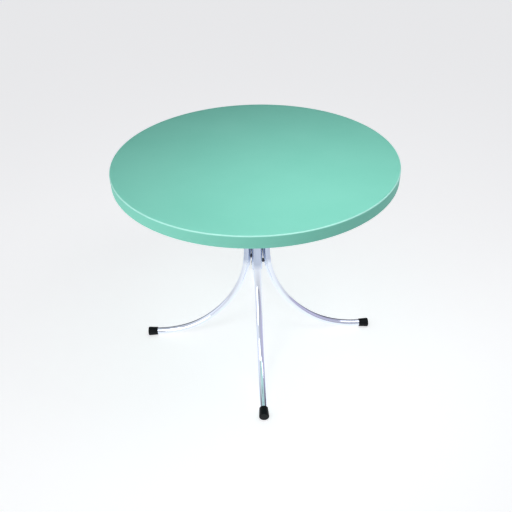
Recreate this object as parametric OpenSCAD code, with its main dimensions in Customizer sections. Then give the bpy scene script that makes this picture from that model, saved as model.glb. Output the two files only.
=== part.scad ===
// Round table: a moulded top with a drop rim, carried by a welded frame of
// one post and four swept tube legs. Origin on the floor under the post,
// front leg along -Y, all sizes in millimetres.

/* [Table top] */
// Diameter of the top
top_d = 850; // [780:10:1000]
// Height of the top surface above the floor
table_h = 710; // [640:5:780]
// Depth of the rim, from the top surface to its lower lip
rim_h = 36; // [28:1:60]
// Thickness of the flat skin
skin_t = 6; // [4:0.5:8]
// Thickness of the rim wall
rim_t = 5; // [4:0.5:8]
// Radius of the rounded edge where the surface turns down into the rim
edge_r = 4; // [1:0.5:5]
// Radius on both corners of the lower lip
lip_r = 1.5; // [0.5:0.25:1.75]
// Fillet inside, between the skin and the rim wall
rim_fillet_r = 6; // [2:0.5:10]

/* [Ribs under the top] */
// Number of radial ribs
rib_count = 8; // [6:1:20]
// Number of ring ribs between the plate seat and the rim
ring_count = 1; // [1:1:4]
// Thickness of a rib at its foot
rib_t = 4; // [3:0.5:6]
// Thickness lost by a rib from its foot to its edge
rib_draft = 1; // [0.2:0.2:1.4]
// Height of the ribs below the skin
rib_h = 12; // [8:1:16]
// Diameter of a screw boss
boss_d = 14; // [12:1:18]
// Diameter of the ring in the middle, where the radial ribs start
hub_ring_d = 90; // [70:2:110]

/* [Mounting plate] */
// Diameter of the plate under the top
plate_d = 240; // [224:2:320]
// Thickness of the plate
plate_t = 4; // [3:0.5:6]
// Distance from the plate's edge to the middle of its seat ring
seat_inset = 8; // [4:0.5:12]
// Width of the bevel on the plate's lower edge
plate_bevel = 1; // [0.4:0.2:2]

/* [Plate screws] */
// Number of screws
screw_count = 8; // [4:1:12]
// Diameter of the circle that the screws lie on
screw_circle_d = 186; // [130:2:200]
// Diameter of a screw's shank
screw_d = 5; // [4:0.5:6]
// Length of the shank below the head
screw_l = 14; // [10:1:15]
// Diameter of the head
head_d = 10; // [8:0.5:12]
// Height of the head
head_h = 3.2; // [2.4:0.2:4.4]
// Height of the straight edge round the head
head_edge_h = 1; // [0.4:0.2:1.6]
// Width of the cross recess in the head
recess_w = 1.4; // [0.8:0.2:2]
// Length of the cross recess in the head
recess_l = 5; // [3:0.5:6]
// Gap all round between a shank and its hole in the plate
plate_hole_gap = 0.4; // [0.1:0.1:0.8]
// Gap all round between a shank and its hole in the boss
pilot_gap = 0.05; // [0.02:0.01:0.2]

/* [Post] */
// Outside diameter of the post
post_d = 38; // [32:1:50]
// Wall of the post
post_wall = 2; // [1.5:0.25:3]
// Height of the post's lower end above the floor
post_end_z = 295; // [180:5:330]
// Thickness of the flange of the end plug
plug_flange_t = 3; // [2:0.5:5]
// Length of the end plug's sleeve inside the post
plug_l = 16; // [8:1:30]
// Wall of the end plug's sleeve
plug_wall = 2; // [1.2:0.2:4]
// Gap all round between the sleeve and the post
plug_gap = 0.1; // [0.05:0.05:0.3]

/* [Legs] */
// Outside diameter of a leg tube
leg_d = 25; // [20:1:30]
// Wall of a leg tube
leg_wall = 1.5; // [1:0.25:2.5]
// Distance from the middle of the table to the end of a foot cap
leg_reach = 408; // [396:2:424]
// Length of straight tube at the foot, the part in the cap included
foot_straight_l = 45.5; // [41.5:0.5:52]
// Bend radius of the lower, tighter sweep, to the tube's centre line
lower_sweep_r = 290; // [250:5:310]

/* [Foot caps] */
// Length of a foot cap
cap_l = 34; // [26:1:45]
// Wall of a foot cap round the tube, at its mouth
cap_wall = 1.6; // [1.2:0.1:5]
// How much thicker that wall grows towards the closed end
cap_taper = 1.8; // [0.4:0.2:3]
// Thickness of the closed end
cap_end_t = 5; // [3:0.5:8]
// Radius of the rounded closed end
cap_end_r = 2.6; // [1:0.2:6]
// Radius on the cap's mouth
cap_mouth_r = 1; // [0.4:0.2:1.8]
// Gap all round between the cap and the tube
cap_gap = 0.1; // [0.05:0.05:0.3]

/* [Welds] */
// Radius of a tack weld between the post and a leg
tack_r = 3.4; // [3:0.2:5]
// Least distance of a tack's middle from the plane of its leg
tack_out = 5; // [4.6:0.2:6]
// Width of the valley between post and leg where a tack sits
tack_gap = 3; // [2.6:0.1:4]
// Height of the tacks on three of the legs, above the post's lower end
tack_rise = 50; // [24:1:90]
// Height of the tacks on the right leg, set lower than the rest
right_tack_rise = 29; // [24:1:90]
// Width of the weld round the tubes, under the plate
plate_weld_w = 3; // [1:0.5:5]
// Gap left between a weld and the faces of the tubes
weld_gap = 0.05; // [0.02:0.01:0.1]

/* [Hidden] */
$fn = 96;

// Turn of each leg about the post
front_a = -90;
right_a = 0;
back_a = 90;
left_a = 180;
leg_turns = [front_a, right_a, back_a, left_a];

// Cutters and inner shapes run past the faces they open by this much
over = 1;

// Heights, from the top down
top_r = top_d / 2;
rim_in_r = top_r - rim_t;
skin_z = table_h - skin_t;
seat_z = skin_z - rib_h;
plate_z = seat_z - plate_t;

// Ribs
seat_ring_r = plate_d / 2 - seat_inset;
ring_gap = (rim_in_r - seat_ring_r) / (ring_count + 1);
rib_edge_t = rib_t - rib_draft;

// Screws
screw_turn = 360 / screw_count;
pilot_depth = screw_l - plate_t + over;

// Feet: the caps lie flat on the floor
leg_r = leg_d / 2;
post_r = post_d / 2;
cap_bore_r = leg_r + cap_gap;
cap_mouth_outer_r = cap_bore_r + cap_wall;
cap_r = cap_mouth_outer_r + cap_taper;
tail_z = cap_r;
leg_x = post_r + leg_r;

// The sweeps meet on a line through both their centres that falls 4 for every 3 across.
// The upper, wider sweep takes up what the reach leaves between the post and the lower one
split_cos = 0.6;
split_sin = 0.8;
tube_end_x = leg_reach - cap_end_t;
lower_centre_x = tube_end_x - foot_straight_l;
lower_centre_z = tail_z + lower_sweep_r;
sweep_step = (lower_centre_x - leg_x - lower_sweep_r) / (1 - split_cos);
upper_sweep_r = lower_sweep_r + sweep_step;
upper_centre_x = leg_x + upper_sweep_r;
bend_z = lower_centre_z + sweep_step * split_sin;

// Angle that a leg has turned, and its distance from the post, at a height in the upper sweep
function leg_lean_at(z) = asin(max(0, bend_z - z) / upper_sweep_r);
function leg_x_at(z) = upper_centre_x - upper_sweep_r * cos(leg_lean_at(z));

// Half the width of a round of radius r, at a distance y from its middle
function half_chord(r, y) = sqrt(r * r - y * y);

// Distance from a leg's plane at which its valley with the post is tack_gap wide,
// where the leg has moved away from the post by room
function valley_out(room) = sqrt(max(pow(tack_out, 2), 2 * (tack_gap - room) / (1 / post_r + 1 / leg_r)));

// Waste outside a rounded corner at the origin, on the side of +x and +y
module corner_waste(r) {
    translate([-r, -r]) difference() {
        square(r + over);
        circle(r);
    }
}

module ring_section(outer_r, wall) {
    difference() {
        circle(outer_r);
        circle(outer_r - wall);
    }
}

// Half section of the skin and the rim
module top_section() {
    difference() {
        translate([0, table_h - rim_h]) square([top_r, rim_h]);
        difference() {
            translate([-over, table_h - rim_h - over]) square([rim_in_r + over, rim_h - skin_t + over]);
            translate([rim_in_r, skin_z]) corner_waste(rim_fillet_r);
        }
        translate([top_r, table_h]) corner_waste(edge_r);
        translate([top_r, table_h - rim_h]) mirror([0, 1]) corner_waste(lip_r);
        translate([rim_in_r, table_h - rim_h]) rotate(180) corner_waste(lip_r);
    }
}

// Section of a rib that hangs from the skin, thinner at its edge
module rib_section() {
    polygon([
        [-rib_t / 2, skin_z + over], [-rib_t / 2, skin_z],
        [-rib_edge_t / 2, seat_z], [rib_edge_t / 2, seat_z],
        [rib_t / 2, skin_z], [rib_t / 2, skin_z + over]
    ]);
}

module ring_rib(r) {
    rotate_extrude() translate([r, 0]) rib_section();
}

module radial_rib() {
    start_x = hub_ring_d / 2;
    translate([start_x, 0, 0]) rotate([90, 0, 90])
        linear_extrude(rim_in_r + over - start_x) rib_section();
}

module at_screws() {
    for (i = [0 : screw_count - 1])
        rotate((i + 0.5) * screw_turn) translate([screw_circle_d / 2, 0, 0]) children();
}

module table_top() {
    color([0.47, 0.80, 0.71]) difference() {
        union() {
            rotate_extrude() top_section();
            for (i = [0 : rib_count - 1]) rotate(i * 360 / rib_count) radial_rib();
            for (k = [0 : ring_count]) ring_rib(seat_ring_r + k * ring_gap);
            ring_rib(hub_ring_d / 2);
            at_screws() translate([0, 0, seat_z]) cylinder(d = boss_d, h = rib_h + over);
        }
        at_screws() translate([0, 0, seat_z - over])
            cylinder(r = screw_d / 2 + pilot_gap, h = pilot_depth + over);
    }
}

module mount_plate() {
    color([0.62, 0.64, 0.67]) difference() {
        union() {
            translate([0, 0, plate_z + plate_bevel]) cylinder(d = plate_d, h = plate_t - plate_bevel);
            translate([0, 0, plate_z])
                cylinder(r1 = plate_d / 2 - plate_bevel, r2 = plate_d / 2, h = plate_bevel);
        }
        at_screws() translate([0, 0, plate_z - over])
            cylinder(r = screw_d / 2 + plate_hole_gap, h = plate_t + 2 * over);
    }
}

module screw() {
    dome_h = head_h - head_edge_h;
    dome_r = (pow(head_d / 2, 2) + pow(dome_h, 2)) / (2 * dome_h);
    cylinder(d = screw_d, h = screw_l);
    difference() {
        rotate_extrude() intersection() {
            translate([0, dome_r - head_h]) circle(dome_r);
            translate([0, -head_h]) square([head_d / 2, head_h]);
        }
        for (turn = [0, 90]) rotate(turn) translate([-recess_l / 2, -recess_w / 2, -head_h - over])
            cube([recess_l, recess_w, head_h / 2 + over]);
    }
}

module plate_screws() {
    color([0.75, 0.76, 0.78]) at_screws() translate([0, 0, plate_z]) screw();
}

module centre_post() {
    color([0.80, 0.84, 0.92]) translate([0, 0, post_end_z])
        linear_extrude(plate_z - post_end_z) ring_section(post_r, post_wall);
}

module post_plug() {
    color([0.82, 0.83, 0.85]) translate([0, 0, post_end_z]) {
        translate([0, 0, -plug_flange_t])
            cylinder(r1 = post_r - plug_flange_t / 2, r2 = post_r, h = plug_flange_t);
        linear_extrude(plug_l) ring_section(post_r - post_wall - plug_gap, plug_wall);
    }
}

// A quarter turn of tube round the origin, from -X down to -Z
module sweep(bend_r) {
    rotate([90, 0, 0]) rotate(180) rotate_extrude(angle = 90)
        translate([bend_r, 0]) ring_section(leg_r, leg_wall);
}

// The part of a sweep to cut away, on one side of the line where the two sweeps meet
module split_waste(bend_r, below) {
    run = 3 * bend_r;
    line_end = [-run * split_cos, -run * split_sin];
    rotate([90, 0, 0]) linear_extrude(leg_d + 2 * over, center = true)
        polygon(below ? [[0, 0], line_end, [over, line_end[1]], [over, 0]]
            : [[0, 0], [0, over], [line_end[0], over], line_end]);
}

// A ring within the wall, across the line where the sweeps meet, that makes them one tube
module sweep_lap() {
    rotate([0, 90 + atan2(split_cos, split_sin), 0])
        linear_extrude(2 * leg_wall, center = true) ring_section(leg_r - leg_wall / 3, leg_wall / 3);
}

// A leg goes down beside the post, out in two sweeps and flat to the foot
module leg(turn) {
    color([0.86, 0.89, 0.95]) rotate(turn) {
        translate([leg_x, 0, bend_z]) linear_extrude(plate_z - bend_z) ring_section(leg_r, leg_wall);
        translate([upper_centre_x, 0, bend_z]) difference() {
            sweep(upper_sweep_r);
            split_waste(upper_sweep_r, true);
        }
        translate([lower_centre_x, 0, lower_centre_z]) difference() {
            sweep(lower_sweep_r);
            split_waste(lower_sweep_r, false);
        }
        translate([lower_centre_x - lower_sweep_r * split_cos, 0, lower_centre_z - lower_sweep_r * split_sin])
            sweep_lap();
        translate([lower_centre_x, 0, tail_z]) rotate([90, 0, 90])
            linear_extrude(foot_straight_l) ring_section(leg_r, leg_wall);
    }
}

// Half section of a foot cap, its closed end at the origin and its mouth along +y.
// It narrows to the mouth, which has a short straight lip
module cap_section() {
    difference() {
        polygon([
            [0, 0], [cap_r, 0], [cap_r, cap_end_t],
            [cap_mouth_outer_r, cap_l - cap_mouth_r], [cap_mouth_outer_r, cap_l], [0, cap_l]
        ]);
        translate([-over, cap_end_t]) square([cap_bore_r + over, cap_l]);
        translate([cap_r, 0]) mirror([0, 1]) corner_waste(cap_end_r);
        translate([cap_mouth_outer_r, cap_l]) corner_waste(cap_mouth_r);
    }
}

module foot_cap(turn) {
    color([0.08, 0.09, 0.10]) rotate(turn) translate([leg_reach, 0, tail_z]) rotate([0, -90, 0])
        rotate_extrude() cap_section();
}

// Tack welds in the two valleys between the post and each leg
module tack_welds() {
    color([0.25, 0.26, 0.30]) for (turn = leg_turns) {
        z = post_end_z + (turn == right_a ? right_tack_rise : tack_rise);
        leg_axis_x = leg_x_at(z);
        out = valley_out(leg_axis_x - leg_x);
        valley_x = (half_chord(post_r, out) + leg_axis_x - half_chord(leg_r, out)) / 2;
        rotate(turn) for (side = [-1, 1]) difference() {
            translate([valley_x, side * out, z]) rotate([0, 90, 0]) sphere(tack_r);
            translate([0, 0, z]) cylinder(r = post_r + weld_gap, h = 4 * tack_r, center = true);
            translate([leg_axis_x, 0, z]) rotate([0, -leg_lean_at(z), 0])
                cylinder(r = leg_r + weld_gap, h = 4 * tack_r, center = true);
        }
    }
}

// A fillet of weld under the plate round one tube, or the space that the tube takes
module plate_weld_cone(tube_r) {
    translate([0, 0, plate_z - plate_weld_w])
        cylinder(r1 = tube_r + weld_gap, r2 = tube_r + plate_weld_w, h = plate_weld_w);
}

module plate_weld_core(tube_r) {
    translate([0, 0, plate_z - 2 * plate_weld_w])
        cylinder(r = tube_r + weld_gap, h = 3 * plate_weld_w);
}

module at_leg_heads() {
    for (turn = leg_turns) rotate(turn) translate([leg_x, 0, 0]) children();
}

// Weld round the heads of the five tubes, in the corner under the plate
module plate_welds() {
    color([0.60, 0.62, 0.66]) difference() {
        union() {
            plate_weld_cone(post_r);
            at_leg_heads() plate_weld_cone(leg_r);
        }
        plate_weld_core(post_r);
        at_leg_heads() plate_weld_core(leg_r);
    }
}

table_top();
mount_plate();
plate_screws();
centre_post();
post_plug();
leg(front_a);  // leg_front
leg(right_a);  // leg_right
leg(back_a);  // leg_back
leg(left_a);  // leg_left
foot_cap(front_a);  // foot_cap_front
foot_cap(right_a);  // foot_cap_right
foot_cap(back_a);  // foot_cap_back
foot_cap(left_a);  // foot_cap_left
tack_welds();
plate_welds();
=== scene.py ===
import bmesh
import bpy
import math
from mathutils import Matrix, Quaternion, Vector


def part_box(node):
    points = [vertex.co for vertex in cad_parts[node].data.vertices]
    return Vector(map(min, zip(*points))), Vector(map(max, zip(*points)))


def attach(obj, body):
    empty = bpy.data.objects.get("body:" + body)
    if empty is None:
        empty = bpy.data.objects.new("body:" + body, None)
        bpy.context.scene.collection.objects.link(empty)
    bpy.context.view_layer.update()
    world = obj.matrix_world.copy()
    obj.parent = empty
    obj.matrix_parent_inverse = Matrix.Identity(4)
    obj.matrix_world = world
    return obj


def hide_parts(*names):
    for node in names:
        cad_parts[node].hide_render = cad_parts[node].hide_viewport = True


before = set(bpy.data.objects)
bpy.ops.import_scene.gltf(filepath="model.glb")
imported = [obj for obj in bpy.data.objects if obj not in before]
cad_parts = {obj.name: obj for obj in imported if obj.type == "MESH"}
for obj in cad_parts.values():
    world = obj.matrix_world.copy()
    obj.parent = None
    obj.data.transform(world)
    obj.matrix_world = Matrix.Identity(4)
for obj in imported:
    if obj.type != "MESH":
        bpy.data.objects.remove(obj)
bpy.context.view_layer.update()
print("frame loaded, nodes:", len(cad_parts))

# sizes are in metres and angles in degrees
legTurns = {"front": -90, "right": 0, "back": 90, "left": 180}  # about the post
sameSpot = 1e-7  # points closer than this are one


def arcPoints(centre, radius, start, end, steps):
    # points along an arc, both ends among them
    points = []
    for i in range(steps + 1):
        a = math.radians(start + (end - start) * i / steps)
        points.append((centre[0] + radius * math.cos(a), centre[1] + radius * math.sin(a)))
    return points


def lathe(profile, segments, closed=False):
    # turns (radius, height) points about Z; a closed profile makes a ring or a tube
    mesh = bmesh.new()
    rings = []
    for r, z in profile:
        if r < sameSpot:
            rings.append([mesh.verts.new((0, 0, z))])
        else:
            turns = [math.tau * k / segments for k in range(segments)]
            rings.append([mesh.verts.new((r * math.cos(a), r * math.sin(a), z)) for a in turns])
    pairs = list(zip(rings, rings[1:]))
    if closed:
        pairs.append((rings[-1], rings[0]))
    for a, b in pairs:
        for k in range(segments):
            n = (k + 1) % segments
            corners = [a[k % len(a)], a[n % len(a)], b[n % len(b)], b[k % len(b)]]
            unique = list(dict.fromkeys(corners))
            if len(unique) > 2:
                mesh.faces.new(unique)
    bmesh.ops.remove_doubles(mesh, verts=mesh.verts, dist=sameSpot)
    bmesh.ops.recalc_face_normals(mesh, faces=mesh.faces)
    return mesh


def extrudeOutline(outline, start, end):
    # closed prism of a (y, z) outline from x = start to x = end
    mesh = bmesh.new()
    near = [mesh.verts.new((start, y, z)) for y, z in outline]
    far = [mesh.verts.new((end, y, z)) for y, z in outline]
    mesh.faces.new(near)
    mesh.faces.new(far)
    for k in range(len(outline)):
        n = (k + 1) % len(outline)
        mesh.faces.new([near[k], near[n], far[n], far[k]])
    bmesh.ops.recalc_face_normals(mesh, faces=mesh.faces)
    return mesh


def toObject(name, mesh, material=None):
    # takes a bmesh, which is freed, or mesh data that a modifier made
    if isinstance(mesh, bmesh.types.BMesh):
        data = bpy.data.meshes.new(name)
        mesh.to_mesh(data)
        mesh.free()
    else:
        data = mesh
        data.name = name
    if material:
        data.materials.clear()
        data.materials.append(material)
    made = bpy.data.objects.new(name, data)
    bpy.context.scene.collection.objects.link(made)
    return made


def evaluatedMesh(made):
    bpy.context.view_layer.update()
    evaluated = made.evaluated_get(bpy.context.evaluated_depsgraph_get())
    return bpy.data.meshes.new_from_object(evaluated)


def joinMeshes(objects):
    # one bmesh of several plain mesh objects, which are removed
    mesh = bmesh.new()
    for made in objects:
        mesh.from_mesh(made.data)
        bpy.data.objects.remove(made)
    return mesh


def smoothBy(made, angle):
    made.data.shade_smooth()
    made.data.set_sharp_from_angle(angle=math.radians(angle))
    return made


def mount(made, slotName, *nodes):
    # the piece rides on the part's one body and stands for its CAD nodes
    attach(made, "root")
    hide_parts(*nodes)


def newTree(name, inputs):
    # a tree that takes and gives geometry, with named inputs
    tree = bpy.data.node_groups.new(name, "GeometryNodeTree")
    tree.interface.new_socket(name="Geometry", in_out="INPUT", socket_type="NodeSocketGeometry")
    for socketName, kind, value in inputs:
        socket = tree.interface.new_socket(name=socketName, in_out="INPUT", socket_type=kind)
        if value is not None:
            socket.default_value = value
    tree.interface.new_socket(name="Geometry", in_out="OUTPUT", socket_type="NodeSocketGeometry")
    return tree, tree.nodes.new("NodeGroupInput"), tree.nodes.new("NodeGroupOutput")


def mathNode(tree, operation, a, b=None):
    node = tree.nodes.new("ShaderNodeMath")
    node.operation = operation
    for socket, value in zip(node.inputs, (a, b)):
        if isinstance(value, bpy.types.NodeSocket):
            tree.links.new(value, socket)
        elif value is not None:
            socket.default_value = value
    return node.outputs[0]


def endTree(tree, geometry, given, output):
    # every tree ends in real geometry with its material
    real = tree.nodes.new("GeometryNodeRealizeInstances")
    painted = tree.nodes.new("GeometryNodeSetMaterial")
    tree.links.new(geometry, real.inputs[0])
    tree.links.new(real.outputs[0], painted.inputs["Geometry"])
    tree.links.new(given.outputs["Material"], painted.inputs["Material"])
    tree.links.new(painted.outputs[0], output.inputs[0])


def buildRoundPattern():
    # copies the mesh round the post: ribs, bosses, screws and tack welds
    tree, given, output = newTree("roundPattern", [
        ("Count", "NodeSocketInt", 8),
        ("First Turn", "NodeSocketFloat", 0.0),
        ("Material", "NodeSocketMaterial", None),
    ])
    points = tree.nodes.new("GeometryNodePoints")
    index = tree.nodes.new("GeometryNodeInputIndex")
    turn = tree.nodes.new("ShaderNodeCombineXYZ")
    place = tree.nodes.new("GeometryNodeInstanceOnPoints")
    step = mathNode(tree, "DIVIDE", math.tau, given.outputs["Count"])
    angle = mathNode(tree, "MULTIPLY", index.outputs[0], step)
    tree.links.new(mathNode(tree, "ADD", angle, given.outputs["First Turn"]), turn.inputs["Z"])
    tree.links.new(given.outputs["Count"], points.inputs["Count"])
    tree.links.new(points.outputs[0], place.inputs["Points"])
    tree.links.new(given.outputs["Geometry"], place.inputs["Instance"])
    tree.links.new(turn.outputs[0], place.inputs["Rotation"])
    endTree(tree, place.outputs[0], given, output)
    return tree


def buildTubeAlongPath():
    # the skin of a tube that follows the mesh's chain of edges
    tree, given, output = newTree("tubeAlongPath", [
        ("Tube Radius", "NodeSocketFloat", 0.0125),
        ("Sides", "NodeSocketInt", 48),
        ("Material", "NodeSocketMaterial", None),
    ])
    path = tree.nodes.new("GeometryNodeMeshToCurve")
    ring = tree.nodes.new("GeometryNodeCurvePrimitiveCircle")
    sweep = tree.nodes.new("GeometryNodeCurveToMesh")
    smooth = tree.nodes.new("GeometryNodeSetShadeSmooth")
    tree.links.new(given.outputs["Geometry"], path.inputs[0])
    tree.links.new(given.outputs["Sides"], ring.inputs["Resolution"])
    tree.links.new(given.outputs["Tube Radius"], ring.inputs["Radius"])
    tree.links.new(path.outputs[0], sweep.inputs["Curve"])
    tree.links.new(ring.outputs["Curve"], sweep.inputs["Profile Curve"])
    tree.links.new(sweep.outputs[0], smooth.inputs["Geometry"])
    endTree(tree, smooth.outputs[0], given, output)
    return tree


def buildBeadAlongPath():
    # a weld bead with its ripples along the mesh's chains of edges
    tree, given, output = newTree("beadAlongPath", [
        ("Bead Radius", "NodeSocketFloat", 0.0017),
        ("Ripple Pitch", "NodeSocketFloat", 0.0022),
        ("Ripple Depth", "NodeSocketFloat", 0.12),
        ("Sides", "NodeSocketInt", 12),
        ("Material", "NodeSocketMaterial", None),
    ])
    path = tree.nodes.new("GeometryNodeMeshToCurve")
    place = tree.nodes.new("GeometryNodeSplineParameter")
    radius = tree.nodes.new("GeometryNodeSetCurveRadius")
    ring = tree.nodes.new("GeometryNodeCurvePrimitiveCircle")
    sweep = tree.nodes.new("GeometryNodeCurveToMesh")
    smooth = tree.nodes.new("GeometryNodeSetShadeSmooth")
    sweep.inputs["Fill Caps"].default_value = True
    ring.inputs["Radius"].default_value = 1.0  # the curve's own radius scales it
    turns = mathNode(tree, "DIVIDE", place.outputs["Length"], given.outputs["Ripple Pitch"])
    wave = mathNode(tree, "SINE", mathNode(tree, "MULTIPLY", turns, math.pi))
    ripple = mathNode(tree, "ABSOLUTE", wave)
    swing = mathNode(tree, "MULTIPLY", ripple, given.outputs["Ripple Depth"])
    scale = mathNode(tree, "SUBTRACT", 1.0, swing)
    rippled = mathNode(tree, "MULTIPLY", scale, given.outputs["Bead Radius"])
    tree.links.new(given.outputs["Geometry"], path.inputs[0])
    tree.links.new(path.outputs[0], radius.inputs["Curve"])
    tree.links.new(rippled, radius.inputs["Radius"])
    tree.links.new(given.outputs["Sides"], ring.inputs["Resolution"])
    tree.links.new(radius.outputs[0], sweep.inputs["Curve"])
    tree.links.new(ring.outputs["Curve"], sweep.inputs["Profile Curve"])
    if "Scale" in sweep.inputs:  # newer builds take the radius through this socket
        tree.links.new(tree.nodes.new("GeometryNodeInputRadius").outputs[0], sweep.inputs["Scale"])
    tree.links.new(sweep.outputs[0], smooth.inputs["Geometry"])
    endTree(tree, smooth.outputs[0], given, output)
    return tree


roundPattern = buildRoundPattern()
tubeAlongPath = buildTubeAlongPath()
beadAlongPath = buildBeadAlongPath()


def runTree(name, source, tree, values):
    # runs a tree on a source mesh, and keeps the result as a plain mesh
    holder = toObject(name + "Source", source)
    modifier = holder.modifiers.new("shape", "NODES")
    modifier.node_group = tree
    for item in tree.interface.items_tree:
        if item.item_type == "SOCKET" and item.in_out == "INPUT" and item.name in values:
            modifier[item.identifier] = values[item.name]
    holder.update_tag()
    data = evaluatedMesh(holder)
    bpy.data.objects.remove(holder)
    return toObject(name, data, values["Material"])


print("node trees built")


def newGroup(name, inputs, outputs):
    # a shader group with named inputs and outputs
    group = bpy.data.node_groups.new(name, "ShaderNodeTree")
    for socketName, kind, value in inputs:
        socket = group.interface.new_socket(name=socketName, in_out="INPUT", socket_type=kind)
        if value is not None:
            socket.default_value = value
    for socketName, kind in outputs:
        group.interface.new_socket(name=socketName, in_out="OUTPUT", socket_type=kind)
    return group, group.nodes.new("NodeGroupInput"), group.nodes.new("NodeGroupOutput")


def mapRange(tree, value, fromLow, fromHigh, toLow, toHigh):
    node = tree.nodes.new("ShaderNodeMapRange")
    for socketName, given in (("Value", value), ("From Min", fromLow), ("From Max", fromHigh),
                              ("To Min", toLow), ("To Max", toHigh)):
        if isinstance(given, bpy.types.NodeSocket):
            tree.links.new(given, node.inputs[socketName])
        else:
            node.inputs[socketName].default_value = given
    return node.outputs["Result"]


noiseLook = {  # the same in every material
    "grainDetail": 3.0,
    "grainRoughness": 0.55,
    "grainRange": (0.25, 0.75),
    "coarseDetail": 2.0,
    "fineDetail": 4.0,
    "fineDistortion": 0.6,
    "speckRange": (0.5, 0.72),
}


def buildFineGrain():
    # the small unevenness of a skin: a value between two limits, and a height
    group, given, output = newGroup("fineGrain", [
        ("Vector", "NodeSocketVector", None),
        ("Scale", "NodeSocketFloat", 400.0),
        ("Low", "NodeSocketFloat", 0.2),
        ("High", "NodeSocketFloat", 0.4),
    ], [("Value", "NodeSocketFloat"), ("Height", "NodeSocketFloat")])
    noise = group.nodes.new("ShaderNodeTexNoise")
    noise.inputs["Detail"].default_value = noiseLook["grainDetail"]
    noise.inputs["Roughness"].default_value = noiseLook["grainRoughness"]
    group.links.new(given.outputs["Vector"], noise.inputs["Vector"])
    group.links.new(given.outputs["Scale"], noise.inputs["Scale"])
    limits = (given.outputs["Low"], given.outputs["High"])
    value = mapRange(group, noise.outputs["Fac"], *noiseLook["grainRange"], *limits)
    group.links.new(value, output.inputs["Value"])
    group.links.new(noise.outputs["Fac"], output.inputs["Height"])
    return group


def buildScuffs():
    # sparse worn places: a fine pattern that shows only inside a coarse one
    group, given, output = newGroup("scuffs", [
        ("Vector", "NodeSocketVector", None),
        ("Coarse Scale", "NodeSocketFloat", 6.0),
        ("Fine Scale", "NodeSocketFloat", 180.0),
        ("Cover", "NodeSocketFloat", 0.4),
    ], [("Mask", "NodeSocketFloat")])
    coarse = group.nodes.new("ShaderNodeTexNoise")
    fine = group.nodes.new("ShaderNodeTexNoise")
    coarse.inputs["Detail"].default_value = noiseLook["coarseDetail"]
    fine.inputs["Detail"].default_value = noiseLook["fineDetail"]
    fine.inputs["Distortion"].default_value = noiseLook["fineDistortion"]
    for noise, scale in ((coarse, "Coarse Scale"), (fine, "Fine Scale")):
        group.links.new(given.outputs["Vector"], noise.inputs["Vector"])
        group.links.new(given.outputs[scale], noise.inputs["Scale"])
    edge = mathNode(group, "SUBTRACT", 1.0, given.outputs["Cover"])
    patch = mapRange(group, coarse.outputs["Fac"], edge, 1.0, 0.0, 1.0)
    speck = mapRange(group, fine.outputs["Fac"], *noiseLook["speckRange"], 0.0, 1.0)
    group.links.new(mathNode(group, "MULTIPLY", patch, speck), output.inputs["Mask"])
    return group


fineGrain = buildFineGrain()
scuffs = buildScuffs()


def startMaterial(name):
    material = bpy.data.materials.new(name)
    material.use_nodes = True
    tree = material.node_tree
    shader = tree.nodes["Principled BSDF"]
    place = tree.nodes.new("ShaderNodeTexCoord")
    return material, tree, shader, place.outputs["Object"]


def useGroup(tree, group, vector, **values):
    node = tree.nodes.new("ShaderNodeGroup")
    node.node_tree = group
    tree.links.new(vector, node.inputs["Vector"])
    for key, value in values.items():  # coarseScale sets the socket Coarse Scale
        socketName = "".join(" " + c if c.isupper() else c for c in key).title()
        node.inputs[socketName].default_value = value
    return node


def mixColours(tree, factor, a, b):
    node = tree.nodes.new("ShaderNodeMix")
    node.data_type = "RGBA"  # its colours are inputs 6 and 7, and output 2
    tree.links.new(factor, node.inputs[0])
    for socket, value in ((node.inputs[6], a), (node.inputs[7], b)):
        if isinstance(value, bpy.types.NodeSocket):
            tree.links.new(value, socket)
        else:
            socket.default_value = (*value, 1.0)
    return node.outputs[2]


def addBump(tree, shader, height, strength, distance):
    bump = tree.nodes.new("ShaderNodeBump")
    bump.inputs["Strength"].default_value = strength
    bump.inputs["Distance"].default_value = distance
    tree.links.new(height, bump.inputs["Height"])
    tree.links.new(bump.outputs["Normal"], shader.inputs["Normal"])


def stretchPlace(tree, vector, scale):
    mapping = tree.nodes.new("ShaderNodeMapping")
    mapping.inputs["Scale"].default_value = scale
    tree.links.new(vector, mapping.inputs["Vector"])
    return mapping.outputs["Vector"]


def splitAxes(tree, place):
    axes = tree.nodes.new("ShaderNodeSeparateXYZ")
    tree.links.new(place, axes.inputs[0])
    return axes.outputs


plasticLook = {
    "colour": (0.222, 0.670, 0.525),
    "paleColour": (0.246, 0.700, 0.555),
    "scuffColour": (0.36, 0.76, 0.65),
    "underPaintedLightColour": (0.58, 0.86, 0.78),  # painted light: paler below to lift the shade under the top, as the front leg reflects it
    "edgeHighlightColour": (0.50, 0.94, 0.82),  # painted highlight: a pale line on the top edge only
    "edgeBand": (0.0036, 0.0018),  # how far from the corner the edge begins, and is whole
    "hollowBand": (0.0045, 0.0030),  # the same for the hollow, from the rim's outside
    "hollowDepth": (0.0032, 0.0016),  # and from the top surface
    "clouds": {"scale": 5.0, "low": 0.0, "high": 1.0},
    "grain": {"scale": 520.0, "low": 0.26, "high": 0.36},  # low and high are roughness
    "scuffs": {"coarseScale": 7.0, "fineScale": 160.0, "cover": 0.42},
    "scuffShare": 0.25,
    "rimMatt": 0.30,  # how much duller the rim is
    "ior": 1.49,
    "specular": 0.32,
    "bump": (0.25, 0.00012),  # strength and depth
}


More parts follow.
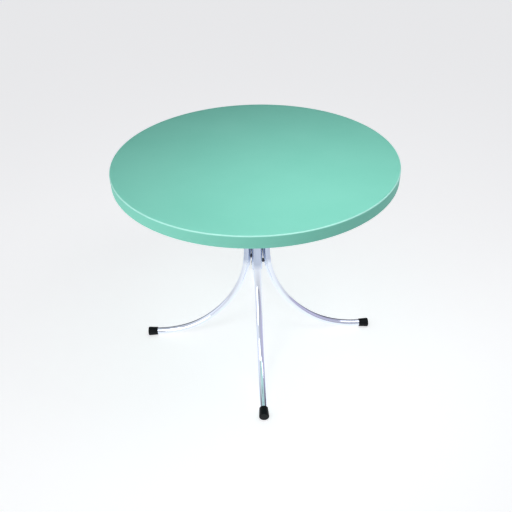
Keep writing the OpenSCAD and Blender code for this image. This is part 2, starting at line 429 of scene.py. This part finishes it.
def topMasks(tree, place):
    # the rounded edge round the surface, the rim below it, and the hollow underneath
    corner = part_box("table_top")[1]
    axes = splitAxes(tree, place)
    squares = [mathNode(tree, "POWER", axes[name], 2.0) for name in "XY"]
    across = mathNode(tree, "POWER", mathNode(tree, "ADD", *squares), 0.5)

    def band(value, limit, insets, low, high):
        return mapRange(tree, value, limit - insets[0], limit - insets[1], low, high)

    outer = band(across, corner.x, plasticLook["edgeBand"], 0.0, 1.0)
    upper = band(axes["Z"], corner.z, plasticLook["edgeBand"], 0.0, 1.0)
    within = band(across, corner.x, plasticLook["hollowBand"], 1.0, 0.0)
    below = band(axes["Z"], corner.z, plasticLook["hollowDepth"], 1.0, 0.0)
    edge = mathNode(tree, "MULTIPLY", outer, upper)
    rim = mathNode(tree, "SUBTRACT", outer, edge)
    return edge, rim, mathNode(tree, "MULTIPLY", within, below)


def makeTopPlastic():
    look = plasticLook
    material, tree, shader, place = startMaterial("mintPlastic")
    clouds = useGroup(tree, fineGrain, place, **look["clouds"])
    grain = useGroup(tree, fineGrain, place, **look["grain"])
    worn = useGroup(tree, scuffs, place, **look["scuffs"])
    body = mixColours(tree, clouds.outputs["Value"], look["colour"], look["paleColour"])
    faint = mathNode(tree, "MULTIPLY", worn.outputs["Mask"], look["scuffShare"])
    scuffed = mixColours(tree, faint, body, look["scuffColour"])
    edge, rim, hollow = topMasks(tree, place)
    # painted light: the hollow underneath is made paler, lifting its shade
    pale = mixColours(tree, hollow, scuffed, look["underPaintedLightColour"])
    # painted highlight along the rounded top edge
    tree.links.new(mixColours(tree, edge, pale, look["edgeHighlightColour"]), shader.inputs["Base Color"])
    matt = mathNode(tree, "ADD", faint, mathNode(tree, "MULTIPLY", rim, look["rimMatt"]))
    tree.links.new(mathNode(tree, "ADD", grain.outputs["Value"], matt), shader.inputs["Roughness"])
    shader.inputs["IOR"].default_value = look["ior"]
    shader.inputs["Specular IOR Level"].default_value = look["specular"]
    addBump(tree, shader, grain.outputs["Height"], *look["bump"])
    return material


chromeLook = {
    "colour": (0.73, 0.77, 0.85),
    "dullColour": (0.66, 0.69, 0.77),
    "hubShadeColour": (0.45, 0.50, 0.62),  # painted shade: bluish grey on the hub and the heads of the legs, under the top
    "hubShadeFrom": (0.316, 0.338),  # heights where that painted shade begins, and is whole
    "haze": {"scale": 35.0, "low": 0.05, "high": 0.10},
    "scuffs": {"coarseScale": 14.0, "fineScale": 420.0, "cover": 0.44},
    "scuffMatt": 0.12,
    "bump": (0.06, 0.0003),
}


def makeChrome():
    look = chromeLook
    material, tree, shader, place = startMaterial("brightChrome")
    haze = useGroup(tree, fineGrain, place, **look["haze"])
    worn = useGroup(tree, scuffs, place, **look["scuffs"])
    shader.inputs["Metallic"].default_value = 1.0
    # painted shade: the chrome turns bluish grey from these heights up, standing in for the top's
    # shade
    hubShade = mapRange(tree, splitAxes(tree, place)["Z"], *look["hubShadeFrom"], 0.0, 1.0)
    plated = mixColours(tree, worn.outputs["Mask"], look["colour"], look["dullColour"])
    shadedChrome = mixColours(tree, hubShade, plated, look["hubShadeColour"])
    tree.links.new(shadedChrome, shader.inputs["Base Color"])
    dull = mathNode(tree, "MULTIPLY", worn.outputs["Mask"], look["scuffMatt"])
    tree.links.new(mathNode(tree, "ADD", haze.outputs["Value"], dull), shader.inputs["Roughness"])
    addBump(tree, shader, haze.outputs["Height"], *look["bump"])
    return material


def makeCast(name, look):
    # two tones in clouds and a fine grain: zinc, weld metal and grey plastic
    material, tree, shader, place = startMaterial(name)
    clouds = useGroup(tree, fineGrain, place, scale=look["cloudScale"], low=0.0, high=1.0)
    along = stretchPlace(tree, place, look["stretch"]) if "stretch" in look else place
    grain = useGroup(tree, fineGrain, along, **look["grain"])
    shader.inputs["Metallic"].default_value = look["metallic"]
    tones = mixColours(tree, clouds.outputs["Value"], look["colour"], look["otherColour"])
    tree.links.new(tones, shader.inputs["Base Color"])
    tree.links.new(grain.outputs["Value"], shader.inputs["Roughness"])
    addBump(tree, shader, grain.outputs["Height"], *look["bump"])
    return material


plateLook = {
    "colour": (0.42, 0.44, 0.47),
    "otherColour": (0.60, 0.62, 0.65),  # the spangle of zinc
    "metallic": 1.0,
    "cloudScale": 90.0,
    "grain": {"scale": 540.0, "low": 0.34, "high": 0.48},
    "stretch": (1.0, 0.15, 1.0),  # drawn out along the sheet
    "bump": (0.2, 0.0001),
}
screwLook = {
    "colour": (0.60, 0.60, 0.62),
    "otherColour": (0.74, 0.74, 0.74),
    "metallic": 1.0,
    "cloudScale": 500.0,
    "grain": {"scale": 3000.0, "low": 0.22, "high": 0.34},
    "stretch": (1.0, 0.15, 1.0),
    "bump": (0.2, 0.0001),
}
weldLook = {
    "colour": (0.20, 0.20, 0.23),
    "otherColour": (0.07, 0.055, 0.05),  # burnt, in patches
    "metallic": 0.9,
    "cloudScale": 260.0,
    "grain": {"scale": 1500.0, "low": 0.35, "high": 0.60},
    "bump": (0.5, 0.0002),
}
plugLook = {
    "colour": (0.60, 0.61, 0.64),
    "otherColour": (0.52, 0.53, 0.56),
    "metallic": 0.0,
    "cloudScale": 60.0,
    "grain": {"scale": 900.0, "low": 0.40, "high": 0.52},
    "bump": (0.3, 0.0001),
}
rubberLook = {
    "colour": (0.004, 0.005, 0.006),
    "scuffColour": (0.022, 0.023, 0.024),
    "dustColour": (0.07, 0.068, 0.063),
    "dustHeight": 0.006,  # above the floor
    "dustShare": 0.5,
    "grain": {"scale": 1300.0, "low": 0.40, "high": 0.55},
    "scuffs": {"coarseScale": 70.0, "fineScale": 700.0, "cover": 0.5},
    "specular": 0.12,
    "bump": (0.35, 0.00015),
}


def makeRubber():
    look = rubberLook
    material, tree, shader, place = startMaterial("blackRubber")
    grain = useGroup(tree, fineGrain, place, **look["grain"])
    worn = useGroup(tree, scuffs, place, **look["scuffs"])
    height = splitAxes(tree, place)["Z"]
    low = mapRange(tree, height, 0.0, look["dustHeight"], look["dustShare"], 0.0)
    body = mixColours(tree, worn.outputs["Mask"], look["colour"], look["scuffColour"])
    dusty = mathNode(tree, "MULTIPLY", low, grain.outputs["Height"])
    tree.links.new(mixColours(tree, dusty, body, look["dustColour"]), shader.inputs["Base Color"])
    tree.links.new(mathNode(tree, "ADD", grain.outputs["Value"], low), shader.inputs["Roughness"])
    shader.inputs["Specular IOR Level"].default_value = look["specular"]
    addBump(tree, shader, grain.outputs["Height"], *look["bump"])
    return material


mintPlastic = makeTopPlastic()
brightChrome = makeChrome()
plateZinc = makeCast("plateZinc", plateLook)
screwZinc = makeCast("screwZinc", screwLook)
weldMetal = makeCast("weldMetal", weldLook)
greyPlastic = makeCast("greyPlastic", plugLook)
blackRubber = makeRubber()
print("materials made:", len(bpy.data.materials))


top = {  # skin, drop rim, ribs and bosses in one moulding
    "segments": 288,
    "skin": 0.006,
    "rimWall": 0.005,
    "edgeRadius": 0.004,
    "lipRadius": 0.0015,
    "filletRadius": 0.006,
    "arcSteps": {"edge": 10, "lip": 5, "fillet": 8},
    "upperRings": (0.0, 0.2, 0.4, 0.6, 0.8, 0.95),  # shares of the radius, for even faces
    "lowerRings": (0.9, 0.7, 0.5, 0.3, 0.1, 0.0),
    "ribCount": 8,
    "ringRadii": (0.045, 0.112, 0.266),  # hub, plate seat and middle ring
    "ringSegments": 192,
    "ribFoot": 0.004,
    "ribEdge": 0.003,
    "ribHeight": 0.012,
    "ribSoft": 0.0006,
    "root": 0.001,  # how far ribs and bosses reach into the skin and the rim
    "bossRadius": 0.007,
    "bossSoft": 0.0006,
    "bossSegments": 40,
    "pilotRadius": 0.00255,
    "pilotDepth": 0.011,
    "pilotBevel": 0.0004,
    "screwCircle": 0.093,
    "screwCount": 8,
    "smoothAngle": 32,
}


def topProfile(radius, low, high):
    inner, skinLow = radius - top["rimWall"], high - top["skin"]
    edge, lip, fillet = top["edgeRadius"], top["lipRadius"], top["filletRadius"]
    steps = top["arcSteps"]
    flat = [(radius * share, high) for share in top["upperRings"]]
    under = [(radius * share, skinLow) for share in top["lowerRings"]]
    return (
        flat
        + arcPoints((radius - edge, high - edge), edge, 90, 0, steps["edge"])
        + arcPoints((radius - lip, low + lip), lip, 0, -90, steps["lip"])
        + arcPoints((inner + lip, low + lip), lip, -90, -180, steps["lip"])
        + arcPoints((inner - fillet, skinLow - fillet), fillet, 0, 90, steps["fillet"])
        + under
    )


def ribOutline(skinLow):
    # a drafted rib with a soft lower edge
    foot, edge, soft = top["ribFoot"] / 2, top["ribEdge"] / 2, top["ribSoft"]
    low = skinLow - top["ribHeight"]
    right = [(foot, skinLow + top["root"]), (foot, skinLow), (edge, low + soft), (edge - soft, low)]
    return right + [(-y, z) for y, z in reversed(right)]


def bossMesh(skinLow):
    # a boss with its pilot hole, in its place on the screws' circle
    low, pilot, radius = skinLow - top["ribHeight"], top["pilotRadius"], top["bossRadius"]
    bevel, soft, end = top["pilotBevel"], top["bossSoft"], skinLow + top["root"]
    boss = lathe([
        (0.0, low + top["pilotDepth"]), (pilot, low + top["pilotDepth"]),
        (pilot, low + bevel), (pilot + bevel, low),
        (radius - soft, low), (radius, low + soft),
        (radius, end), (0.0, end),
    ], top["bossSegments"])
    bmesh.ops.translate(boss, verts=boss.verts, vec=(top["screwCircle"], 0, 0))
    return boss


def buildTableTop():
    lowCorner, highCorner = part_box("table_top")
    radius, low, high = -lowCorner.x, lowCorner.z, highCorner.z  # the narrower side of the box
    skinLow = high - top["skin"]
    parts = [toObject("shell", lathe(topProfile(radius, low, high), top["segments"]))]
    outline = ribOutline(skinLow)
    rib = extrudeOutline(outline, top["ringRadii"][0], radius - top["rimWall"] + top["root"])
    parts.append(runTree("radialRibs", rib, roundPattern, {
        "Count": top["ribCount"], "Material": mintPlastic,
    }))
    for ringRadius in top["ringRadii"]:
        ring = [(ringRadius + y, z) for y, z in outline]
        parts.append(toObject("ringRib", lathe(ring, top["ringSegments"], closed=True)))
    count = top["screwCount"]
    parts.append(runTree("bosses", bossMesh(skinLow), roundPattern, {
        "Count": count, "First Turn": math.pi / count, "Material": mintPlastic,
    }))
    made = toObject("tableTop", joinMeshes(parts), mintPlastic)
    mount(smoothBy(made, top["smoothAngle"]), "top_plastic", "table_top")


buildTableTop()
print("table top made")


post = {
    "wall": 0.002,
    "endRadius": 0.0005,
    "endSteps": 4,
    "segments": 96,
    "smoothAngle": 40,
}


def buildPost():
    lowCorner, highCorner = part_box("centre_post")
    radius, low, high, soft = highCorner.x, lowCorner.z, highCorner.z, post["endRadius"]
    inner, steps = radius - post["wall"], post["endSteps"]
    profile = (
        [(inner, high), (radius, high)]
        + arcPoints((radius - soft, low + soft), soft, 0, -90, steps)
        + arcPoints((inner + soft, low + soft), soft, -90, -180, steps)
    )
    made = toObject("centrePost", lathe(profile, post["segments"], closed=True), brightChrome)
    mount(smoothBy(made, post["smoothAngle"]), "tube_chrome", "centre_post")


plug = {
    "flange": 0.003,
    "flangeTaper": 0.0015,
    "flangeSoft": 0.0008,
    "flangeTurn": 60,  # how far round its soft edge goes
    "flangeSteps": 4,
    "flangeBevel": 0.0002,
    "sleeveWall": 0.002,
    "sleeveGap": 0.0001,  # all round, inside the post
    "sleeveBevel": 0.0006,
    "dimpleRadius": 0.005,
    "dimpleDepth": 0.0006,
    "dimpleEdge": 0.0004,  # its depth at the edge
    "segments": 96,
    "smoothAngle": 34,
}


def buildPlug():
    lowCorner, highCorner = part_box("post_plug")
    low, high, seat = lowCorner.z, highCorner.z, lowCorner.z + plug["flange"]
    radius, soft, bevel = highCorner.x, plug["flangeSoft"], plug["flangeBevel"]
    face = radius - plug["flangeTaper"] - soft
    dimple, depth = plug["dimpleRadius"], plug["dimpleDepth"]
    sleeve, end = radius - post["wall"] - plug["sleeveGap"], plug["sleeveBevel"]
    inner, turnEnd = sleeve - plug["sleeveWall"], plug["flangeTurn"] - 90
    profile = (
        [(0.0, low + depth), (dimple, low + plug["dimpleEdge"]), (dimple + depth, low), (face, low)]
        + arcPoints((face, low + soft), soft, -90, turnEnd, plug["flangeSteps"])
        + [(radius, seat - bevel), (radius - bevel, seat), (sleeve, seat)]
        + [(sleeve, high - end), (sleeve - end, high), (inner, high), (inner, seat), (0.0, seat)]
    )
    made = toObject("postPlug", lathe(profile, plug["segments"]), greyPlastic)
    mount(smoothBy(made, plug["smoothAngle"]), "plug_plastic", "post_plug")


leg = {
    "tubeRadius": 0.0125,
    "wall": 0.0015,
    "lowerSweep": 0.290,
    "upperSweep": 0.380,
    "splitAngle": math.degrees(math.atan2(4, 3)),  # where the sweeps meet, from the horizontal
    "steps": (12, 72, 40, 4),  # of the head, the upper sweep, the lower sweep and the foot
    "sides": 56,
}


def legCurve():
    # centres of both sweeps, as distance from the post's middle and height
    lowCorner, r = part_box("leg_right")[0], leg["tubeRadius"]
    split, step = math.radians(leg["splitAngle"]), leg["upperSweep"] - leg["lowerSweep"]
    lowerHeight = lowCorner.z + r + leg["lowerSweep"]
    upper = (lowCorner.x + r + leg["upperSweep"], lowerHeight + step * math.sin(split))
    return upper, (upper[0] - step * math.cos(split), lowerHeight)


def legPath(turn):
    # from the plate down, out through both sweeps and flat to the foot
    lowCorner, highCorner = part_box("leg_right")
    x, tail = lowCorner.x + leg["tubeRadius"], lowCorner.z + leg["tubeRadius"]
    (upperX, upperZ), (lowerX, lowerZ) = legCurve()
    drop, run, bend = upperZ - highCorner.z, highCorner.x - lowerX, 180 + leg["splitAngle"]
    headSteps, upperSteps, lowerSteps, footSteps = leg["steps"]
    head = [(x, highCorner.z + drop * k / headSteps) for k in range(headSteps)]
    upper = arcPoints((upperX, upperZ), leg["upperSweep"], 180, bend, upperSteps)
    lower = arcPoints((lowerX, lowerZ), leg["lowerSweep"], bend, 270, lowerSteps)
    foot = [(lowerX + run * k / footSteps, tail) for k in range(1, footSteps + 1)]
    mesh = bmesh.new()
    verts = [mesh.verts.new((px, 0, pz)) for px, pz in head + upper + lower[1:] + foot]
    for a, b in zip(verts, verts[1:]):
        mesh.edges.new((a, b))
    bmesh.ops.rotate(mesh, verts=mesh.verts, matrix=Matrix.Rotation(math.radians(turn), 3, "Z"))
    return mesh


def buildLeg(side, turn):
    made = runTree("leg" + side.title(), legPath(turn), tubeAlongPath, {
        "Tube Radius": leg["tubeRadius"], "Sides": leg["sides"], "Material": brightChrome,
    })
    thick = made.modifiers.new("wall", "SOLIDIFY")
    thick.thickness = leg["wall"]
    thick.offset = -1.0
    mount(made, "tube_chrome", "leg_" + side)


cap = {
    "gap": 0.0001,  # all round the tube
    "wall": 0.0016,
    "endThickness": 0.005,
    "endRing": 0.5,  # share of the radius, for even faces
    "endRadius": 0.0026,
    "mouthRadius": 0.001,
    "arcSteps": {"end": 8, "mouth": 5},
    "boreBevel": 0.0004,
    "segments": 72,
    "smoothAngle": 40,
}


def buildCap(side, turn):
    lowCorner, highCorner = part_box("foot_cap_right")
    radius, reach, length = highCorner.y, highCorner.x, highCorner.x - lowCorner.x
    bore, bevel, end = leg["tubeRadius"] + cap["gap"], cap["boreBevel"], cap["endThickness"]
    soft, mouth, lip = cap["endRadius"], cap["mouthRadius"], bore + cap["wall"]
    steps = cap["arcSteps"]
    profile = (
        [(0.0, 0.0), (radius * cap["endRing"], 0.0)]
        + arcPoints((radius - soft, soft), soft, -90, 0, steps["end"])
        + [(radius, end)]
        + arcPoints((lip - mouth, length - mouth), mouth, 0, 90, steps["mouth"])
        + [(bore + bevel, length), (bore, length - bevel), (bore, end), (0.0, end)]
    )
    mesh = lathe(profile, cap["segments"])
    lying = Matrix.Rotation(math.radians(-90), 4, "Y")
    tip = Matrix.Translation((reach, 0, lowCorner.z + radius)) @ lying
    turned = Matrix.Rotation(math.radians(turn), 4, "Z") @ tip
    bmesh.ops.transform(mesh, verts=mesh.verts, matrix=turned)
    made = toObject("footCap" + side.title(), mesh, blackRubber)
    mount(smoothBy(made, cap["smoothAngle"]), "cap_rubber", "foot_cap_" + side)


buildPost()
buildPlug()
for side, turn in legTurns.items():
    buildLeg(side, turn)
    buildCap(side, turn)
print("post, plug, legs and foot caps made")


screw = {
    "headRadius": 0.005,
    "headHeight": 0.0032,
    "headEdge": 0.001,  # straight edge round the head
    "domeSteps": 8,
    "shankRadius": 0.0025,
    "shankLength": 0.014,
    "pitch": 0.0016,
    "rootShare": 0.84,  # of the shank's radius
    "tipShare": 0.6,
    "tipLength": 0.0006,
    "slotWidth": 0.0014,
    "slotLength": 0.005,
    "slotDepth": 0.0016,
    "segments": 40,
    "smoothAngle": 30,
}


def screwProfile(seat):
    # the shank with its thread as rings, then the domed head
    shank, tip, pitch = screw["shankRadius"], seat + screw["shankLength"], screw["pitch"]
    profile = [(0.0, tip), (shank * screw["tipShare"], tip)]
    for k in range(int(screw["shankLength"] / pitch)):
        z = tip - screw["tipLength"] - k * pitch
        profile += [(shank, z), (shank * screw["rootShare"], z - pitch * 0.5)]
    head, edge = screw["headRadius"], seat - screw["headEdge"]
    profile += [(shank, seat), (head, seat), (head, edge)]
    dome = screw["headHeight"] - screw["headEdge"]
    domeRadius = (head ** 2 + dome ** 2) / (2 * dome)
    for k in range(1, screw["domeSteps"] + 1):
        r = head * (1 - k / screw["domeSteps"])
        profile.append((r, edge - math.sqrt(domeRadius ** 2 - r ** 2) + (domeRadius - dome)))
    return profile


def cutSlot(body, face, width, length):
    # one bar of the cross recess
    cutter = bmesh.new()
    bmesh.ops.create_cube(cutter, size=1.0)
    bmesh.ops.scale(cutter, verts=cutter.verts, vec=(width, length, screw["slotDepth"] * 2))
    bmesh.ops.translate(cutter, verts=cutter.verts, vec=(0, 0, face))
    tool = toObject("slotCutter", cutter)
    cut = body.modifiers.new("slot", "BOOLEAN")
    cut.operation, cut.solver, cut.object = "DIFFERENCE", "EXACT", tool
    data = evaluatedMesh(body)
    body.modifiers.remove(cut)
    body.data = data
    bpy.data.objects.remove(tool)


def buildScrews():
    # one screw in its place, then all of them round the plate
    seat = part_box("mount_plate")[0].z
    body = toObject("screwBody", lathe(screwProfile(seat), screw["segments"]), screwZinc)
    bar = (screw["slotWidth"], screw["slotLength"])
    for width, length in (bar, reversed(bar)):
        cutSlot(body, seat - screw["headHeight"], width, length)
    single = joinMeshes([body])
    bmesh.ops.translate(single, verts=single.verts, vec=(top["screwCircle"], 0, 0))
    count = top["screwCount"]
    made = runTree("plateScrews", single, roundPattern, {
        "Count": count, "First Turn": math.pi / count, "Material": screwZinc,
    })
    mount(smoothBy(made, screw["smoothAngle"]), "screw_steel", "plate_screws")


weld = {
    "beadRadius": 0.0019,
    "ripplePitch": 0.0024,
    "rippleDepth": 0.14,
    "inset": 0.0007,  # of the bead's middle, from plate and tube
    "postArc": (13, 77),  # past each leg
    "legGap": 18,  # left open on each side of the post
    "degreesPerStep": 2.0,
    "fewestSteps": 8,
    "sides": 12,
}


def arcEdges(mesh, centre, radius, z, start, end):
    steps = max(weld["fewestSteps"], int(abs(end - start) / weld["degreesPerStep"]))
    points = arcPoints(centre, radius, start, end, steps)
    verts = [mesh.verts.new((x, y, z)) for x, y in points]
    for a, b in zip(verts, verts[1:]):
        mesh.edges.new((a, b))


def buildPlateWelds():
    # beads in the corner under the plate, only where the tubes leave it open
    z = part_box("mount_plate")[0].z - weld["inset"]
    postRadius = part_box("centre_post")[1].x
    legX, gap = postRadius + leg["tubeRadius"], weld["legGap"]
    first, last = weld["postArc"]
    mesh = bmesh.new()
    for turn in legTurns.values():
        arcEdges(mesh, (0, 0), postRadius + weld["inset"], z, turn + first, turn + last)
        a = math.radians(turn)
        centre = (legX * math.cos(a), legX * math.sin(a))
        radius = leg["tubeRadius"] + weld["inset"]
        arcEdges(mesh, centre, radius, z, turn + 180 + gap, turn + 540 - gap)
    made = runTree("plateWelds", mesh, beadAlongPath, {
        "Bead Radius": weld["beadRadius"], "Ripple Pitch": weld["ripplePitch"],
        "Ripple Depth": weld["rippleDepth"], "Sides": weld["sides"], "Material": weldMetal,
    })
    mount(made, "weld_steel", "plate_welds")


tack = {
    "radius": 0.0034,
    "out": 0.005,  # from the leg's plane
    "rise": 0.050,  # above the post's lower end
    "rightRise": 0.029,  # the right leg's tacks sit lower
    "thin": 0.9,
    "tall": 1.25,
    "dent": 0.10,
    "dentWaves": (1900, 1500),  # across and upright
    "subdivisions": 3,
    "smoothAngle": 80,
}


def tackBlob(mesh, turn, way):
    # uneven, longer up and down
    fine, radius = tack["subdivisions"], tack["radius"]
    blob = bmesh.ops.create_icosphere(mesh, subdivisions=fine, radius=radius)["verts"]
    across, upright = tack["dentWaves"]
    for v in blob:
        wave = math.sin(v.co.x * across + turn) * math.sin(v.co.z * upright + way)
        stretched = Vector((v.co.x, v.co.y * tack["thin"], v.co.z * tack["tall"]))
        v.co = stretched * (1 + tack["dent"] * wave)
    return blob


def buildTackWelds():
    # small blobs in both valleys between the post and each leg
    postLow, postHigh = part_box("centre_post")
    postRadius, r, out, sweep = postHigh.x, leg["tubeRadius"], tack["out"], leg["upperSweep"]
    bend = legCurve()[0][1]
    mesh = bmesh.new()
    for side, turn in legTurns.items():
        z = postLow.z + (tack["rightRise"] if side == "right" else tack["rise"])
        lean = math.asin(max(0.0, bend - z) / sweep)
        axis = postRadius + r + sweep - sweep * math.cos(lean)
        valley = (math.sqrt(postRadius ** 2 - out ** 2) + axis - math.sqrt(r ** 2 - out ** 2)) / 2
        for way in (-1, 1):
            blob = tackBlob(mesh, turn, way)
            place = Matrix.Translation((valley, way * out, z))
            turned = Matrix.Rotation(math.radians(turn), 4, "Z") @ place
            bmesh.ops.transform(mesh, verts=blob, matrix=turned)
    made = toObject("tackWelds", mesh, weldMetal)
    mount(smoothBy(made, tack["smoothAngle"]), "weld_steel", "tack_welds")


buildScrews()
buildPlateWelds()
buildTackWelds()

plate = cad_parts["mount_plate"]  # its CAD shape stays
plate.data.materials.clear()
plate.data.materials.append(plateZinc)
print("screws, welds and plate made")


stage = {  # floor and sky, which cameras, mirrors and matt faces see differently
    "floorSize": 60.0,
    "floorColour": (0.56, 0.565, 0.575),
    "floorRoughness": 0.9,
    "floorGlow": 0.33,
    "floorSeenGlow": 0.69,  # the same, as the camera and the chrome see it
    "middleGlow": 0.25,  # more of it under the table
    "middleFill": 1.60,  # and what lights the top from below
    "middleRadius": (0.10, 1.10),
    "skyColour": (0.90, 0.93, 1.0),
    "skyBands": ((0.0, 0.50), (0.37, 0.72), (0.70, 0.38), (0.97, 0.03)),  # height, light
    "frontShare": 0.05,  # light left behind the camera, where the studio is dark
    "backShare": 0.06,
    "rightShare": 0.45,
    "rightTint": (0.80, 0.76, 1.0),
    "seenSky": 0.55,  # what a mirror finish sees on top of that, but not at the back
    "backFill": 1.3,  # low light on matt faces that the main view doesn't see
    "backdrop": 0.86,  # the plain wall that the camera sees
}
skyEdges = {  # axis and where each share begins and is whole, -1 to 1 along that axis
    "front": ("Y", -0.95, -0.50),
    "back": ("Y", 0.3, 0.9),
    "right": ("X", 0.1, 0.7),
    "tint": ("X", 0.0, 0.8),
    "seenHigh": ("Z", 0.45, 0.80),
    "seenFront": ("Y", 0.15, 0.65),
    "fillBack": ("Y", 0.1, 0.7),
    "fillLow": ("Z", 0.0, 0.4),
}
lamps = {  # place, size, power, spread
    "overhead": ((0.14, -0.33, 1.36), 0.8, 3.1, 180),
    "upperLeft": ((-0.92, -1.04, 1.68), 0.8, 6.1, 180),
    "right": ((0.88, -0.26, 1.90), 0.8, 6.4, 180),
    "window": ((-1.25, -1.80, 0.65), 1.2, 4.6, 120),
}
lampAim = (0, 0, 0.65)
lowLamp = 1.0  # a lamp below this height would leave the edge of its light on the floor


def makeFloor():
    mesh = bmesh.new()
    half = stage["floorSize"] / 2
    corners = ((-half, -half), (half, -half), (half, half), (-half, half))
    mesh.faces.new([mesh.verts.new((x, y, 0.0)) for x, y in corners])
    material, tree, shader, place = startMaterial("paleFloor")
    shader.inputs["Base Color"].default_value = (*stage["floorColour"], 1.0)
    shader.inputs["Roughness"].default_value = stage["floorRoughness"]
    shader.inputs["Specular IOR Level"].default_value = 0.0
    shader.inputs["Emission Color"].default_value = (1.0, 1.0, 1.0, 1.0)
    ray = tree.nodes.new("ShaderNodeLightPath").outputs
    seen = mathNode(tree, "MAXIMUM", ray["Is Camera Ray"], ray["Is Glossy Ray"])
    glow = mapRange(tree, seen, 0.0, 1.0, stage["floorGlow"], stage["floorSeenGlow"])
    length = tree.nodes.new("ShaderNodeVectorMath")
    length.operation = "LENGTH"
    tree.links.new(place, length.inputs[0])
    middle = mapRange(tree, length.outputs["Value"], *stage["middleRadius"], 1.0, 0.0)
    limits = (stage["middleFill"], stage["middleGlow"])
    amount = mapRange(tree, ray["Is Glossy Ray"], 0.0, 1.0, *limits)
    hidden = mathNode(tree, "SUBTRACT", 1.0, ray["Is Camera Ray"])
    extra = mathNode(tree, "MULTIPLY", mathNode(tree, "MULTIPLY", middle, amount), hidden)
    tree.links.new(mathNode(tree, "ADD", glow, extra), shader.inputs["Emission Strength"])
    made = toObject("floor", mesh, material)
    return made


def makeSky():
    # a soft studio dome: bright walls all round, dark overhead and behind the camera
    world = bpy.data.worlds.new("studio")
    bpy.context.scene.world = world
    world.use_nodes = True
    tree = world.node_tree
    background = tree.nodes["Background"]
    place = tree.nodes.new("ShaderNodeTexCoord")
    axes = splitAxes(tree, place.outputs["Generated"])
    ray = tree.nodes.new("ShaderNodeLightPath").outputs
    ramp = tree.nodes.new("ShaderNodeValToRGB")
    tree.links.new(axes["Z"], ramp.inputs["Fac"])
    stops = ramp.color_ramp.elements
    for i, (position, grey) in enumerate(stage["skyBands"]):
        stop = stops[i] if i < 2 else stops.new(position)  # a new ramp has two
        stop.position, stop.color = position, (grey, grey, grey, 1.0)

    def along(edge, low, high):
        axis, start, end = skyEdges[edge]
        return mapRange(tree, axes[axis], start, end, low, high)

    def times(a, b):
        return mathNode(tree, "MULTIPLY", a, b)

    hidden = mathNode(tree, "SUBTRACT", 1.0, ray["Is Camera Ray"])
    matt = mathNode(tree, "SUBTRACT", 1.0, ray["Is Glossy Ray"])
    tint = times(along("tint", 0.0, 1.0), hidden)
    tree.links.new(mixColours(tree, tint, stage["skyColour"], stage["rightTint"]),
                   background.inputs["Color"])
    share = times(along("front", stage["frontShare"], 1.0), along("back", 1.0, stage["backShare"]))
    share = times(share, along("right", 1.0, stage["rightShare"]))
    lit = times(share, ramp.outputs["Color"])
    more = mathNode(tree, "MAXIMUM", along("seenHigh", 0.0, stage["seenSky"]),
                    along("seenFront", stage["seenSky"], 0.0))
    mirrored = times(ray["Is Glossy Ray"], more)
    low = times(along("fillBack", 0.0, stage["backFill"]), along("fillLow", 1.0, 0.0))
    light = mathNode(tree, "ADD", mathNode(tree, "ADD", lit, mirrored), times(low, matt))
    plain = times(ray["Is Camera Ray"], stage["backdrop"])
    strength = mathNode(tree, "ADD", times(light, hidden), plain)
    tree.links.new(strength, background.inputs["Strength"])


def makeLight(name, place, size, power, spread):
    lamp = bpy.data.lights.new(name, "AREA")
    lamp.shape, lamp.size, lamp.energy = "DISK", size, power
    lamp.spread = math.radians(spread)
    made = bpy.data.objects.new(name, lamp)
    made.location = place
    aim = Vector(lampAim) - Vector(place)
    made.rotation_euler = aim.to_track_quat("-Z", "Y").to_euler()
    bpy.context.scene.collection.objects.link(made)
    return made


def keepOff(lamp, unlit):
    # the lamp lights everything but this
    group = bpy.data.collections.new(lamp.name + "Unlit")
    group.objects.link(unlit)
    lamp.light_linking.receiver_collection = group
    group.collection_objects[0].light_linking.link_state = "EXCLUDE"


view = {
    "distance": 1.6295,  # from the middle of the top surface
    "elevation": 25.69,
    "panRight": -0.11,
    "tiltDown": 10.50,
    "roll": 1.36,
    "turn": -1.505,
    "lens": 37.89,  # lens and sensor in mm
    "sensor": 36.0,
}


def makeCamera():
    lens = bpy.data.cameras.new("camera")
    lens.sensor_width, lens.lens = view["sensor"], view["lens"]
    made = bpy.data.objects.new("camera", lens)
    bpy.context.scene.collection.objects.link(made)
    topCentre = Vector((0, 0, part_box("table_top")[1].z))
    e = math.radians(view["elevation"])
    forward, right = Vector((0, math.cos(e), -math.sin(e))), Vector((1, 0, 0))
    place = topCentre - forward * view["distance"]
    up = right.cross(forward)
    pan = Quaternion(up, math.radians(-view["panRight"]))
    forward, right = pan @ forward, pan @ right
    tilt = Quaternion(right, math.radians(-view["tiltDown"]))
    forward, up = tilt @ forward, tilt @ up
    roll = Quaternion(forward, math.radians(view["roll"]))
    right, up = roll @ right, roll @ up
    turn = Matrix.Rotation(math.radians(view["turn"]), 4, "Z")
    axes = Matrix((right, up, -forward)).transposed().to_4x4()
    made.matrix_world = turn @ Matrix.Translation(place) @ axes
    bpy.context.scene.camera = made


floor = makeFloor()
makeSky()
for lampName, (place, size, power, spread) in lamps.items():
    lamp = makeLight(lampName, place, size, power, spread)
    if place[2] < lowLamp:
        keepOff(lamp, floor)
makeCamera()
bpy.context.scene.view_settings.view_transform = "Standard"
bpy.context.scene.view_settings.look = "None"
print("stage, light and camera made")
